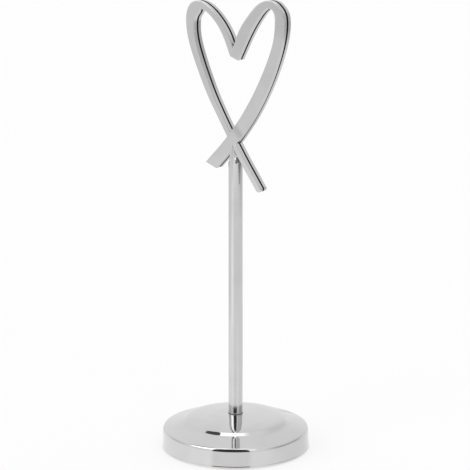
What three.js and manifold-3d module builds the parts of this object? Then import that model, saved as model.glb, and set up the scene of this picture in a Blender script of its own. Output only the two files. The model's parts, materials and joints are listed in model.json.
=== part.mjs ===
// Heart place card holder: two dished heart plates in the slotted end of a tube,
// which stands on a weighted, stepped round base.
// Millimetres, Z up. The origin is the middle of the underside, and the heart faces -Y.

import * as THREE from 'three';
import { mergeVertices } from 'three/addons/utils/BufferGeometryUtils.js';
import Module from 'manifold-3d';

// Base shell, from the middle outwards: a flat crown, a dome that falls away from it, a soft step,
// a sloping shelf and a slightly conical rim.
const CROWN_RADIUS = 6.5;
const DOME_RUN = 14.45;
const STEP_RUN = 3.0;
const SHELF_WIDTH = 8.8;
const RIM_HEIGHT = 9.2;
const SHELF_RISE = 2.75;
const STEP_RISE = 2.3;
const DOME_RISE = 1.3;
const RIM_DRAFT = 0.5;
const SHELL_LIFT = 0.5;
const SHELL_WALL = 0.8;

// How far each soft corner of the shell reaches along its outer and its inner side.
const RIM_ROUNDING = [2.4, 0.8];
const STEP_ROUNDING = [2.0, 0.6];
const RIDGE_ROUNDING = [1.85, 7.0];
const CROWN_ROUNDING = [4.8, 2.4];

// Weight and soft pad inside the shell.
const PAD_THICKNESS = 1.2;
const PAD_CLEARANCE = 0.6;
const BALLAST_CLEARANCE = 0.6;
const BALLAST_CHAMFER = 0.8;
const BOSS_RADIUS = 5.0;
const SEAT_CLEARANCE = 0.05;

// Screw and washers that pull the tube down onto the base.
const SCREW_DIAMETER = 3.0;
const SCREW_ENGAGEMENT = 6.85;
const HEAD_DIAMETER = 5.5;
const HEAD_HEIGHT = 3.0;
const HEAD_RECESS = 0.7;
const SOCKET_FLATS = 2.5;
const SOCKET_DEPTH = 1.5;
const HOLE_CLEARANCE = 0.2;
const THREAD_CLEARANCE = 0.05;
const WASHER_DIAMETER = 7.0;
const WASHER_THICKNESS = 0.5;
const WASHER_POCKET_CLEARANCE = 0.5;
const SPRING_WASHER_SECTION = 1.3;
const SPRING_WASHER_THICKNESS = 0.8;
const SPRING_WASHER_SPLIT = 0.7;

// Tube: its radius follows from the plates that its slot holds.
const TONGUE_THICKNESS = 0.6;
const STEM_WALL = 0.65;
const STEM_REACH = 124.2;
const TUBE_END_BELOW_CROSSING = 1.8;
const SLOT_CLEARANCE = 0.05;
const SLOT_FLOOR_CLEARANCE = 2.4;
const TONGUE_TAPER = 0.5;
const TONGUE_TAPER_LENGTH = 9.0;
const PLUG_LENGTH = 10.0;
const PLUG_CLEARANCE = 0.05;
const COLLAR_OVERHANG = 0.22;
const COLLAR_THICKNESS = 0.5;

// Heart plates: the gap opens a little towards the rim of the dish and closes on the card along
// the broad stroke's limb. The limb's run is measured as x + z, and its side from its own slope.
const PLATE_THICKNESS = 1.95;
const CARD_GAP = 1.1;
const DISH_OPENING = 0.1;
const DISH_REACH_X = 23.0;
const DISH_REACH_Z = 57.0;
const GRIP_GAP = 0.58;
const GRIP_SLOPE = 0.63;
const GRIP_SIDE = [-10.0, -2.0];
const GRIP_FOOT = [3.0, 10.0];
const GRIP_FADE = [24.0, 72.0];
const NIB_ANGLE = -22 * Math.PI / 180;
const SPACER_RADIUS = 1.5;
const SPACER_CLEARANCE = 0.03;

// Pen strokes of the heart, measured from their crossing: x, z and the stroke's width there.
// The light stroke runs from the notch round the left lobe and down to the right leg.
const LIGHT_STROKE = [
  [0.65, 36.0, 2.95],
  [-4.1, 46.6, 2.95],
  [-10.1, 53.95, 2.65],
  [-16.3, 57.6, 3.15],
  [-20.3, 56.1, 5.6],
  [-22.4, 50.4, 4.5],
  [-20.8, 40.0, 3.6],
  [-13.8, 23.1, 3.1],
  [-6.7, 10.2, 2.65],
  [3.5, -6.0, 2.55],
  [13.6, -20.4, 2.4],
];

// The broad stroke runs from the notch round the right lobe and down to the left leg.
const BROAD_STROKE = [
  [0.85, 35.85, 4.4],
  [5.8, 46.6, 5.4],
  [9.9, 52.9, 5.0],
  [14.3, 58.0, 4.3],
  [18.3, 60.1, 3.4],
  [22.0, 58.9, 3.5],
  [24.35, 53.8, 4.8],
  [23.0, 42.4, 4.8],
  [16.75, 26.6, 5.55],
  [8.25, 11.5, 5.8],
  [-1.7, -1.6, 5.6],
  [-11.5, -12.2, 5.7],
];

// Facets.
const TURN_STEPS = 48;
const ROUNDING_STEPS = 4;
const STEPS_PER_STATION = 5;
const CAP_STEPS = 6;
const EDGE_SEARCH_STEPS = 400;
const CUT_MARGIN = 1.0;

// Sizes that follow from the driving dimensions.
const ridgeRadius = CROWN_RADIUS + DOME_RUN;
const footRadius = ridgeRadius + STEP_RUN;
const rimRadius = footRadius + SHELF_WIDTH;
const footHeight = RIM_HEIGHT + SHELF_RISE;
const ridgeHeight = footHeight + STEP_RISE;
const domeTop = ridgeHeight + DOME_RISE;
const lipCapRadius = SHELL_WALL / 2;
const lipHeight = SHELL_LIFT + lipCapRadius;

const screwRadius = SCREW_DIAMETER / 2;
const holeRadius = screwRadius + HOLE_CLEARANCE;
const pocketRadius = Math.max(WASHER_DIAMETER, HEAD_DIAMETER) / 2 + WASHER_POCKET_CLEARANCE;
const headBottom = PAD_THICKNESS + HEAD_RECESS;
const headTop = headBottom + HEAD_HEIGHT;
const washerBottom = headTop + SPRING_WASHER_THICKNESS;
const pocketTop = washerBottom + WASHER_THICKNESS;

const slotHalfWidth = PLATE_THICKNESS + CARD_GAP / 2 + SLOT_CLEARANCE;
const stemRadius = slotHalfWidth + TONGUE_THICKNESS;
const boreRadius = stemRadius - STEM_WALL;
const collarRadius = stemRadius + COLLAR_OVERHANG;
const stemFoot = domeTop + COLLAR_THICKNESS;
const stemLength = STEM_REACH - TUBE_END_BELOW_CROSSING;
const crossingHeight = stemFoot + STEM_REACH;
const screwTip = stemFoot + SCREW_ENGAGEMENT;

const wasm = await Module();
wasm.setup();

// Closed body for joining and cutting, from a geometry's bare positions.
function solidFrom(geometry) {
  const bare = geometry.clone();
  bare.deleteAttribute('normal');
  bare.deleteAttribute('uv');
  const merged = mergeVertices(bare);
  const corners = merged.index.array;
  const triangles = [];
  for (let i = 0; i < corners.length; i += 3) {
    const [a, b, c] = corners.slice(i, i + 3);
    if (a !== b && b !== c && c !== a) {
      triangles.push(a, b, c);
    }
  }
  const vertProperties = new Float32Array(merged.attributes.position.array);
  const triVerts = new Uint32Array(triangles);
  return new wasm.Manifold(new wasm.Mesh({ numProp: 3, vertProperties, triVerts }));
}

// Geometry of a joined or cut body.
function geometryFrom(solid) {
  const mesh = solid.getMesh();
  const geometry = new THREE.BufferGeometry();
  geometry.setAttribute('position', new THREE.BufferAttribute(mesh.vertProperties, 3));
  geometry.setIndex(new THREE.BufferAttribute(mesh.triVerts, 1));
  geometry.computeVertexNormals();
  return geometry;
}

// Body of revolution about Z from a profile of radii and heights.
function turned(profile) {
  return new THREE.LatheGeometry(profile, TURN_STEPS).rotateX(Math.PI / 2);
}

// Profile of a plain ring, closed on itself.
function ringProfile(innerRadius, outerRadius, bottom, top) {
  return [
    new THREE.Vector2(innerRadius, bottom),
    new THREE.Vector2(outerRadius, bottom),
    new THREE.Vector2(outerRadius, top),
    new THREE.Vector2(innerRadius, top),
    new THREE.Vector2(innerRadius, bottom),
  ];
}

// Flat outline raised along Z between two heights.
function raised(shape, bottom, top) {
  const settings = { depth: top - bottom, bevelEnabled: false, curveSegments: TURN_STEPS / 2 };
  return new THREE.ExtrudeGeometry(shape, settings).translate(0, 0, bottom);
}

// Profile through corners given as radius, height and the rounding's reach along both sides,
// which is limited to half of each side.
function rounded(corners) {
  const points = corners.map(([radius, height]) => new THREE.Vector2(radius, height));
  const profile = [points[0]];
  for (let i = 1; i < points.length - 1; i += 1) {
    const [before, corner, after] = points.slice(i - 1, i + 2);
    const [, , reachBack, reachAhead] = corners[i];
    const start = corner.clone().lerp(before, Math.min(reachBack / corner.distanceTo(before), 0.5));
    const end = corner.clone().lerp(after, Math.min(reachAhead / corner.distanceTo(after), 0.5));
    profile.push(...new THREE.QuadraticBezierCurve(start, corner, end).getPoints(ROUNDING_STEPS));
  }
  profile.push(points[points.length - 1]);
  return profile;
}

// Profile moved sideways, to the left of its run, by a wall thickness.
function offsetProfile(profile, distance) {
  return profile.map((point, i) => {
    const before = profile[Math.max(i - 1, 0)];
    const after = profile[Math.min(i + 1, profile.length - 1)];
    const into = point === before ? after.clone().sub(point) : point.clone().sub(before);
    const out = point === after ? into.clone() : after.clone().sub(point);
    const run = into.normalize().add(out.normalize()).normalize();
    const miter = distance / run.dot(out);
    return new THREE.Vector2(point.x - run.y * miter, point.y + run.x * miter);
  });
}

// Outer face of the base shell, from its lip up to the hole in the middle of the crown.
function shellFace() {
  return rounded([
    [rimRadius + RIM_DRAFT, lipHeight],
    [rimRadius, RIM_HEIGHT, ...RIM_ROUNDING],
    [footRadius, footHeight, ...STEP_ROUNDING],
    [ridgeRadius, ridgeHeight, ...RIDGE_ROUNDING],
    [CROWN_RADIUS, domeTop, ...CROWN_ROUNDING],
    [holeRadius, domeTop],
  ]);
}

// Pressed shell of even wall, open underneath, with a rounded lip.
function baseShell() {
  const face = shellFace();
  const inside = offsetProfile(face, SHELL_WALL);
  inside[inside.length - 1].x = holeRadius;
  const lip = new THREE.Path();
  const lipMiddle = face[0].clone().add(inside[0]).divideScalar(2);
  const lipStart = inside[0].clone().sub(lipMiddle).angle();
  lip.absarc(lipMiddle.x, lipMiddle.y, lipCapRadius, lipStart, lipStart + Math.PI, false);
  const lipPoints = lip.getPoints(CAP_STEPS).slice(1, -1);
  return turned([...face, ...inside.reverse(), ...lipPoints, face[0]]);
}

// Inside radius at the top of the shell's rim, where it is narrowest.
const shellInnerRadius = rimRadius - SHELL_WALL;

// Cast weight with a boss that backs the dome and a pocket for the screw head.
function ballastDisc() {
  const radius = shellInnerRadius - BALLAST_CLEARANCE;
  const top = RIM_HEIGHT - RIM_ROUNDING[0];
  const bossTop = domeTop - SHELL_WALL - SEAT_CLEARANCE;
  const profile = [
    [pocketRadius, PAD_THICKNESS],
    [radius, PAD_THICKNESS],
    [radius, top - BALLAST_CHAMFER],
    [radius - BALLAST_CHAMFER, top],
    [BOSS_RADIUS, top],
    [BOSS_RADIUS, bossTop],
    [holeRadius, bossTop],
    [holeRadius, pocketTop],
    [pocketRadius, pocketTop],
    [pocketRadius, PAD_THICKNESS],
  ];
  return turned(profile.map(([r, z]) => new THREE.Vector2(r, z)));
}

// Soft round pad that the base rests on.
function basePad() {
  const radius = shellInnerRadius - PAD_CLEARANCE;
  const profile = [
    [0, 0],
    [radius, 0],
    [radius, PAD_THICKNESS],
    [0, PAD_THICKNESS],
  ];
  return turned(profile.map(([r, z]) => new THREE.Vector2(r, z)));
}

// Regular hexagon outline by its width across flats.
function hexagon(flats) {
  const corner = flats / 2 / Math.cos(Math.PI / 6);
  const points = [];
  for (let i = 0; i < 6; i += 1) {
    const angle = i * Math.PI / 3;
    points.push(new THREE.Vector2(corner * Math.cos(angle), corner * Math.sin(angle)));
  }
  return new THREE.Shape(points);
}

// Socket head screw, head down.
function baseScrew() {
  const headRadius = HEAD_DIAMETER / 2;
  const profile = [
    [0, headBottom],
    [headRadius, headBottom],
    [headRadius, headTop],
    [screwRadius, headTop],
    [screwRadius, screwTip],
    [0, screwTip],
  ];
  const blank = solidFrom(turned(profile.map(([r, z]) => new THREE.Vector2(r, z))));
  const socket = raised(hexagon(SOCKET_FLATS), headBottom - CUT_MARGIN, headBottom + SOCKET_DEPTH);
  return geometryFrom(blank.subtract(solidFrom(socket)));
}

// Flat washer against the pocket's ceiling.
function flatWasher() {
  return turned(ringProfile(holeRadius, WASHER_DIAMETER / 2, washerBottom, pocketTop));
}

// Split spring washer between the screw head and the flat washer.
function springWasher() {
  const outerRadius = holeRadius + SPRING_WASHER_SECTION;
  const outerSplit = Math.asin(SPRING_WASHER_SPLIT / 2 / outerRadius);
  const innerSplit = Math.asin(SPRING_WASHER_SPLIT / 2 / holeRadius);
  const shape = new THREE.Shape();
  shape.absarc(0, 0, outerRadius, outerSplit, 2 * Math.PI - outerSplit, false);
  shape.absarc(0, 0, holeRadius, 2 * Math.PI - innerSplit, innerSplit, true);
  return raised(shape, headTop, washerBottom);
}

// Unit direction across the pen's nib, along which the broad stroke's ends are cut.
const nib = new THREE.Vector2(Math.cos(NIB_ANGLE), Math.sin(NIB_ANGLE));

// Both edges of a stroke, as points left and right of its middle line.
function strokeEdges(stations, steps) {
  const points = stations.map(([x, z, width]) => new THREE.Vector3(x, z, width));
  const middle = new THREE.CatmullRomCurve3(points, false, 'catmullrom', 0.5);
  const edges = { left: [], right: [], tail: null };
  for (let i = 0; i <= steps; i += 1) {
    const station = middle.getPoint(i / steps);
    const tangent = middle.getTangent(i / steps);
    const along = new THREE.Vector2(tangent.x, tangent.y).normalize();
    const isEnd = i === 0 || i === steps;
    const across = isEnd ? nib.clone() : new THREE.Vector2(-along.y, along.x);
    across.multiplyScalar(station.z / 2 / along.cross(across));
    const point = new THREE.Vector2(station.x, station.y);
    edges.left.push(point.clone().add(across));
    edges.right.push(point.clone().sub(across));
    edges.tail = { point, along, radius: station.z / 2 };
  }
  return edges;
}

// Half circle that rounds off a stroke's tail, from its left edge to its right.
function roundTail({ point, along, radius }) {
  const arc = new THREE.Path();
  const angle = along.angle();
  arc.absarc(point.x, point.y, radius, angle + Math.PI / 2, angle - Math.PI / 2, true);
  return arc.getPoints(CAP_STEPS);
}

// Closed outline of one stroke, with its tail rounded or cut along the nib.
function strokeShape(stations, hasRoundTail) {
  const steps = (stations.length - 1) * STEPS_PER_STATION;
  const { left, right, tail } = strokeEdges(stations, steps);
  if (hasRoundTail) {
    left.pop();
    right.pop();
    left.push(...roundTail(tail));
  }
  return new THREE.Shape([...left, ...right.reverse()]);
}

// Gap between the plates at a point of the heart, measured from the crossing.
function cardGap(x, z) {
  const open = CARD_GAP + DISH_OPENING * ((x / DISH_REACH_X) ** 2 + (z / DISH_REACH_Z) ** 2);
  const side = THREE.MathUtils.smoothstep(x - GRIP_SLOPE * z, ...GRIP_SIDE);
  const foot = THREE.MathUtils.smoothstep(x + z, ...GRIP_FOOT);
  const fade = THREE.MathUtils.clamp(THREE.MathUtils.inverseLerp(...GRIP_FADE, x + z), 0, 1);
  return THREE.MathUtils.lerp(open, GRIP_GAP, side * foot * (1 - fade ** 2));
}

// Flat heart standing in the XZ plane, with its inner face at y = 0.
function flatHeart() {
  const light = solidFrom(raised(strokeShape(LIGHT_STROKE, true), 0, PLATE_THICKNESS));
  const broad = solidFrom(raised(strokeShape(BROAD_STROKE, false), 0, PLATE_THICKNESS));
  return geometryFrom(broad.add(light)).rotateX(Math.PI / 2);
}

// Heart plate dished away from the card, in front of it (side -1) or behind it (side 1).
function heartPlate(side) {
  const geometry = flatHeart();
  const position = geometry.attributes.position;
  for (let i = 0; i < position.count; i += 1) {
    const depth = Math.abs(position.getY(i));
    const offset = cardGap(position.getX(i), position.getZ(i)) / 2;
    position.setY(i, side * (offset + depth));
  }
  if (side > 0) {
    const corners = geometry.index.array;
    for (let i = 0; i < corners.length; i += 3) {
      [corners[i], corners[i + 1]] = [corners[i + 1], corners[i]];
    }
  }
  geometry.computeVertexNormals();
  return geometry;
}

// Thin disc that keeps the plates apart at the crossing.
function plateSpacer() {
  const thickness = CARD_GAP - 2 * SPACER_CLEARANCE;
  return new THREE.CylinderGeometry(SPACER_RADIUS, SPACER_RADIUS, thickness, TURN_STEPS);
}

// Lowest point that the strokes reach inside the tube's width, from the crossing.
function lowestInTube() {
  const heights = [LIGHT_STROKE, BROAD_STROKE].flatMap((stations) => {
    const { left, right } = strokeEdges(stations, EDGE_SEARCH_STEPS);
    const inside = [...left, ...right].filter((point) => Math.abs(point.x) <= stemRadius);
    return inside.map((point) => point.y);
  });
  return Math.min(...heights);
}

// Tube with a slot across its end, which leaves a tapered tongue before and behind the plates.
function stemTube() {
  const profile = [
    [boreRadius, 0],
    [stemRadius, 0],
    [stemRadius, stemLength - TONGUE_TAPER_LENGTH],
    [stemRadius - TONGUE_TAPER, stemLength],
    [boreRadius, stemLength],
    [boreRadius, 0],
  ];
  const tube = solidFrom(turned(profile.map(([r, z]) => new THREE.Vector2(r, z))));
  const slotFloor = STEM_REACH + lowestInTube() - SLOT_FLOOR_CLEARANCE;
  const slotHeight = stemLength - slotFloor + CUT_MARGIN;
  const slotLength = 2 * (stemRadius + CUT_MARGIN);
  const slot = new THREE.BoxGeometry(slotLength, 2 * slotHalfWidth, slotHeight);
  slot.translate(0, 0, slotFloor + slotHeight / 2);
  return geometryFrom(tube.subtract(solidFrom(slot)));
}

// Tapped plug in the foot of the tube.
function stemPlug() {
  const inner = screwRadius + THREAD_CLEARANCE;
  return turned(ringProfile(inner, boreRadius - PLUG_CLEARANCE, 0, PLUG_LENGTH));
}

// Thin ring between the tube and the dome.
function stemCollar() {
  return turned(ringProfile(holeRadius, collarRadius, -COLLAR_THICKNESS, 0));
}

// Named piece with a finish of its own.
function piece(name, geometry, color, roughness, metalness) {
  const material = new THREE.MeshStandardMaterial({ color, roughness, metalness });
  const mesh = new THREE.Mesh(geometry, material);
  mesh.name = name;
  return mesh;
}

const base = new THREE.Group();
base.add(piece('base_shell', baseShell(), 0xd0d0d0, 0.08, 1));
base.add(piece('ballast_disc', ballastDisc(), 0x4a4a4a, 0.7, 0.6));
base.add(piece('base_pad', basePad(), 0x2b2b2b, 0.95, 0));
base.add(piece('base_screw', baseScrew(), 0x9a9a9a, 0.35, 1));
base.add(piece('flat_washer', flatWasher(), 0xa8a8a8, 0.4, 1));
base.add(piece('spring_washer', springWasher(), 0x8c8c8c, 0.4, 1));

const stem = new THREE.Group();
stem.position.z = stemFoot;
stem.add(piece('stem_tube', stemTube(), 0xc8c8c8, 0.1, 1));
stem.add(piece('stem_plug', stemPlug(), 0xb09050, 0.35, 1));
stem.add(piece('stem_collar', stemCollar(), 0xb8b8b8, 0.15, 1));

const heart = new THREE.Group();
heart.position.z = crossingHeight;
heart.add(piece('heart_front_plate', heartPlate(-1), 0xc4c4c4, 0.1, 1));
heart.add(piece('heart_rear_plate', heartPlate(1), 0xc4c4c4, 0.1, 1));
heart.add(piece('plate_spacer', plateSpacer(), 0x909090, 0.4, 1));

const cardHolder = new THREE.Group();
cardHolder.add(base, stem, heart);

export default cardHolder;
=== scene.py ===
"""Heart place card holder: its dressed meshes and finishes, and the studio it is seen in.

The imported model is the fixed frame. Lengths are metres in that frame: Z is up, the middle of
the underside is the origin and the heart faces -Y. Sizes of pieces are written in millimetres
and turned into metres by MM.
"""

import json
import logging
import math
from dataclasses import dataclass, field
from enum import Enum
from typing import Union

import bmesh
import bpy
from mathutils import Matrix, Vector, noise

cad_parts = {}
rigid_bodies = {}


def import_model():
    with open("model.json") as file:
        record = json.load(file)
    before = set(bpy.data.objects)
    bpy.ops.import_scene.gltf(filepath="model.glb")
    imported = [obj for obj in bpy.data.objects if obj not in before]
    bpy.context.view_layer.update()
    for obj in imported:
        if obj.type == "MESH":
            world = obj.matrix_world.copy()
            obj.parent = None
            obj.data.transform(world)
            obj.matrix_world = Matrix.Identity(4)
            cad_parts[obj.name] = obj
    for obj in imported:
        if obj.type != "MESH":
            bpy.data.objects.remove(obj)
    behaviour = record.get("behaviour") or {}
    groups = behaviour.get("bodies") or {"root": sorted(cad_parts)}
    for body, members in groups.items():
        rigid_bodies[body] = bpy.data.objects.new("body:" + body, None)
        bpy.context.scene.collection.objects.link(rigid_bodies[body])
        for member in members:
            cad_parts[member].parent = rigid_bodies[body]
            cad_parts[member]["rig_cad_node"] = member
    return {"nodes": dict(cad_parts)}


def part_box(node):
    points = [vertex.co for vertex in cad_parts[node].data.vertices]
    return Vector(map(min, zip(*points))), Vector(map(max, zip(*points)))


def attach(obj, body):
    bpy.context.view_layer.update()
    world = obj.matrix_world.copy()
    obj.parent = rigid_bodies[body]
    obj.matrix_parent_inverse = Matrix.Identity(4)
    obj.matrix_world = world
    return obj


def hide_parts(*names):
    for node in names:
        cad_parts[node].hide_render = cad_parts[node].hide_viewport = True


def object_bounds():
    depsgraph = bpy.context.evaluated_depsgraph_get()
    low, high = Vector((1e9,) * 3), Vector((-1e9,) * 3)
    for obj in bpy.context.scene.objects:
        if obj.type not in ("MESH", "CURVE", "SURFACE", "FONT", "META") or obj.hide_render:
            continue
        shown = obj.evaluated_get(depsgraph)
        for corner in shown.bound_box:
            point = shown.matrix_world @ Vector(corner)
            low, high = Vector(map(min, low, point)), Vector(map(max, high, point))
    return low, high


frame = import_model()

cad_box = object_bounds()

LOG = logging.getLogger("card_holder")
MM = 0.001
WELD = 0.001 * MM
RING_WANDER = 0.4
BODY = "root"

Operand = Union["Field", float]
Pair = tuple[float, float]
Triple = tuple[float, float, float]
Colour = tuple[float, float, float, float]
Feeds = dict[str | int, object]


class Slot(Enum):
    """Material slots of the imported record."""

    CHROME = "polished_chrome"
    ZINC = "zinc_steel"
    BRASS = "turned_brass"
    CAST = "cast_weight"
    FELT = "pad_felt"


class StrokeEnd(Enum):
    """How a pen stroke of the heart ends."""

    NIB_CUT = "cut along the nib"
    ROUND = "rounded off"


class PatchShape(Enum):
    """Outline of a patch of the studio."""

    WINDOW = "straight sides"
    ARCH = "half an ellipse on its lower edge"


class Texture(Enum):
    """Kinds of texture that a finish is made of."""

    CLOUDS = "soft noise"
    FIBRES = "noise drawn out both ways"
    CRYSTALS = "cells"
    RINGS = "bands along Z"


class Field:
    """One value of a node tree, which takes part in Python arithmetic."""

    def __init__(self, graph: "NodeGraph", socket: bpy.types.NodeSocket) -> None:
        """Wraps an output socket of a graph."""
        self.graph = graph
        self.socket = socket

    def __add__(self, other: Operand) -> "Field":
        """Sum of two values."""
        return self.graph.math("ADD", self, other)

    def __radd__(self, other: Operand) -> "Field":
        """Sum with a plain number on the left."""
        return self.graph.math("ADD", other, self)

    def __sub__(self, other: Operand) -> "Field":
        """Difference of two values."""
        return self.graph.math("SUBTRACT", self, other)

    def __rsub__(self, other: Operand) -> "Field":
        """Difference with a plain number on the left."""
        return self.graph.math("SUBTRACT", other, self)

    def __mul__(self, other: Operand) -> "Field":
        """Product of two values."""
        return self.graph.math("MULTIPLY", self, other)

    def __rmul__(self, other: Operand) -> "Field":
        """Product with a plain number on the left."""
        return self.graph.math("MULTIPLY", other, self)

    def __truediv__(self, other: Operand) -> "Field":
        """Quotient of two values."""
        return self.graph.math("DIVIDE", self, other)

    def smooth(self, low: float, high: float) -> "Field":
        """Soft step from 0 at low to 1 at high."""
        inputs = {"Value": self, "From Min": low, "From Max": high}
        return self.graph.field("ShaderNodeMapRange", {"interpolation_type": "SMOOTHSTEP"}, inputs)

    def band(self, low: float, high: float, softness: float) -> "Field":
        """Window that is 1 between low and high and 0 outside, with soft edges."""
        half = softness / 2
        return self.smooth(low - half, low + half) * (1 - self.smooth(high - half, high + half))


class NodeGraph:
    """Adds nodes to one node tree."""

    def __init__(self, tree: bpy.types.NodeTree) -> None:
        """Empties the tree of a material or a world."""
        tree.nodes.clear()
        self.tree = tree

    def node(
        self, kind: str, settings: dict[str, object] | None = None, inputs: Feeds | None = None
    ) -> bpy.types.Node:
        """Adds a node.

        Args:
            kind: Blender's name of the node type.
            settings: Properties of the node, which are set first.
            inputs: Values or links of its sockets, by name or number.

        Returns:
            The node.
        """
        made = self.tree.nodes.new(kind)
        for name, value in (settings or {}).items():
            setattr(made, name, value)
        for key, value in (inputs or {}).items():
            source = value.socket if isinstance(value, Field) else value
            if isinstance(source, bpy.types.NodeSocket):
                self.tree.links.new(source, made.inputs[key])
            else:
                made.inputs[key].default_value = source
        return made

    def field(
        self,
        kind: str,
        settings: dict[str, object] | None = None,
        inputs: Feeds | None = None,
        output: str | int = 0,
    ) -> Field:
        """Adds a node, as node() does, and wraps the output of that name or number."""
        return Field(self, self.node(kind, settings, inputs).outputs[output])

    def math(self, operation: str, first: Operand, second: Operand = 0.0) -> Field:
        """Result of one Math node with one or two operands."""
        return self.field("ShaderNodeMath", {"operation": operation}, {0: first, 1: second})

    def blend(self, factor: Operand, first: Colour, second: Colour) -> bpy.types.NodeSocket:
        """Socket of the colour between the first, at factor 0, and the second, at 1."""
        inputs = {0: factor, 6: first, 7: second}
        return self.node("ShaderNodeMix", {"data_type": "RGBA"}, inputs).outputs[2]

    def place(self, stretch: Triple) -> bpy.types.NodeSocket:
        """Position on the object in millimetres, stretched along each axis.

        Args:
            stretch: Factor for x, y and z, by which a pattern gets finer.

        Returns:
            The socket that gives the position.
        """
        spot = self.node("ShaderNodeTexCoord").outputs["Object"]
        inputs = {0: spot, 1: tuple(factor / MM for factor in stretch)}
        return self.node("ShaderNodeVectorMath", {"operation": "MULTIPLY"}, inputs).outputs[0]

    def texture(self, texture: Texture, stretch: Triple, detail: float) -> Field:
        """Texture over the object.

        Args:
            texture: Kind of texture.
            stretch: Repeats per millimetre along x, y and z.
            detail: Number of finer layers.

        Returns:
            The texture's value.
        """
        inputs = {"Vector": self.place(stretch), "Scale": 1.0, "Detail": detail}
        if texture is Texture.CRYSTALS:
            return self.field("ShaderNodeTexVoronoi", {"feature": "F1"}, inputs, "Distance")
        if texture is Texture.RINGS:
            settings = {"wave_type": "BANDS", "bands_direction": "Z"}
            inputs["Distortion"] = RING_WANDER
            return self.field("ShaderNodeTexWave", settings, inputs, "Fac")
        return self.field("ShaderNodeTexNoise", None, inputs, "Fac")

    def bump(self, height: Field, depth: float) -> bpy.types.NodeSocket:
        """Socket of a normal with relief, where a height of 1 stands for depth in metres."""
        inputs = {"Strength": 1.0, "Distance": depth, "Height": height}
        return self.node("ShaderNodeBump", None, inputs).outputs[0]


def grey(level: float) -> Colour:
    """Opaque grey of one level."""
    return (level, level, level, 1.0)


def even(factor: float) -> Triple:
    """The same factor along every axis."""
    return (factor, factor, factor)


@dataclass(frozen=True)
class Layer:
    """One pattern of a finish, and what it changes.

    Attributes:
        texture: Kind of texture.
        stretch: Repeats per millimetre along x, y and z.
        detail: Number of finer layers of the texture.
        span: Values of the texture between which the layer rises from 0 to 1, or none to keep them.
        tone: Its share in the tone between the finish's two colours.
        roughness: Roughness that it adds.
        relief: Depth of its relief.
    """

    texture: Texture
    stretch: Triple
    detail: float
    span: Pair | None = None
    tone: float = 0.0
    roughness: float = 0.0
    relief: float = 0.0

    def value(self, graph: NodeGraph) -> Field:
        """Adds the layer's nodes.

        Args:
            graph: The material's graph.

        Returns:
            The layer's value over the surface.
        """
        x, y, z = self.stretch
        made = graph.texture(self.texture, (x, y, z), self.detail)
        if self.texture is Texture.FIBRES:
            made = graph.math("MAXIMUM", made, graph.texture(self.texture, (y, x, z), self.detail))
        return made.smooth(*self.span) if self.span else made


@dataclass(frozen=True)
class Finish:
    """A finish that covers pieces of the holder.

    Attributes:
        name: Name of its material.
        slot: The record's slot of its pieces; not used.
        colours: Colour where the tone is 0 and where it is 1.
        roughness: Roughness where its layers are 0.
        layers: Patterns that vary it.
        tone_span: Tones between which the colour changes, or none to keep them.
        metallic: How much bare metal shows.
        sheen: Weight and roughness of a cloth's sheen.
    """

    name: str
    slot: Slot
    colours: tuple[Colour, Colour]
    roughness: float
    layers: tuple[Layer, ...]
    tone_span: Pair | None = None
    metallic: float = 1.0
    sheen: Pair = (0.0, 0.5)

    def material(self) -> bpy.types.Material:
        """Makes the material.

        Returns:
            A material with this finish's nodes.
        """
        made = bpy.data.materials.new(self.name)
        made.use_nodes = True
        graph = NodeGraph(made.node_tree)
        inputs = {"Metallic": self.metallic}
        inputs["Sheen Weight"], inputs["Sheen Roughness"] = self.sheen
        tone, roughness = 0.0, self.roughness
        for layer in self.layers:
            value = layer.value(graph)
            if layer.tone:
                tone = tone + layer.tone * value
            if layer.roughness:
                roughness = roughness + layer.roughness * value
            if layer.relief:
                inputs["Normal"] = graph.bump(value, layer.relief)
        tone = tone.smooth(*self.tone_span) if self.tone_span else tone
        inputs |= {"Base Color": graph.blend(tone, *self.colours), "Roughness": roughness}
        shader = graph.node("ShaderNodeBsdfPrincipled", None, inputs)
        graph.node("ShaderNodeOutputMaterial", None, {"Surface": shader.outputs[0]})
        return made


def chrome(
    name: str,
    levels: Pair = (0.575, 0.555),
    roughness: float = 0.03,
    mark_roughness: float = 0.02,
    mark_stretch: Triple = (2.5, 2.5, 0.12),
) -> Finish:
    """Bright plating over polished steel, with faint polishing marks.

    Args:
        name: Name of the material.
        levels: Greys of the clean plating and of its duller clouds.
        roughness: Roughness of the clean plating.
        mark_roughness: Extra roughness of the polishing marks.
        mark_stretch: Polishing marks per millimetre along each axis.

    Returns:
        The finish.
    """
    haze = Layer(Texture.CLOUDS, even(0.11), 3.0, span=(0.42, 0.68), tone=1.0, roughness=0.02)
    marks = Layer(Texture.CLOUDS, mark_stretch, 2.0, span=(0.5, 0.75), roughness=mark_roughness)
    ripple = Layer(Texture.CLOUDS, even(0.35), 1.0, relief=0.0012 * MM)
    clean, hazy = levels
    colours = grey(clean), grey(hazy)
    return Finish(name, Slot.CHROME, colours, roughness, (haze, marks, ripple))


def dull(name: str, level: float, worn_level: float) -> Finish:
    """Unpolished inner face with paler streaks; made near black, it is painted shade.

    Args:
        name: Name of the material.
        level: Grey of the face.
        worn_level: Grey of its paler streaks.

    Returns:
        The finish.
    """
    streaks = Layer(
        Texture.CLOUDS, (0.5, 0.5, 3.0), 4.0, tone=1.0, roughness=0.2, relief=0.004 * MM
    )
    colours = grey(level), grey(worn_level)
    return Finish(name, Slot.CHROME, colours, 0.55, (streaks,), metallic=0.4)


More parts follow.
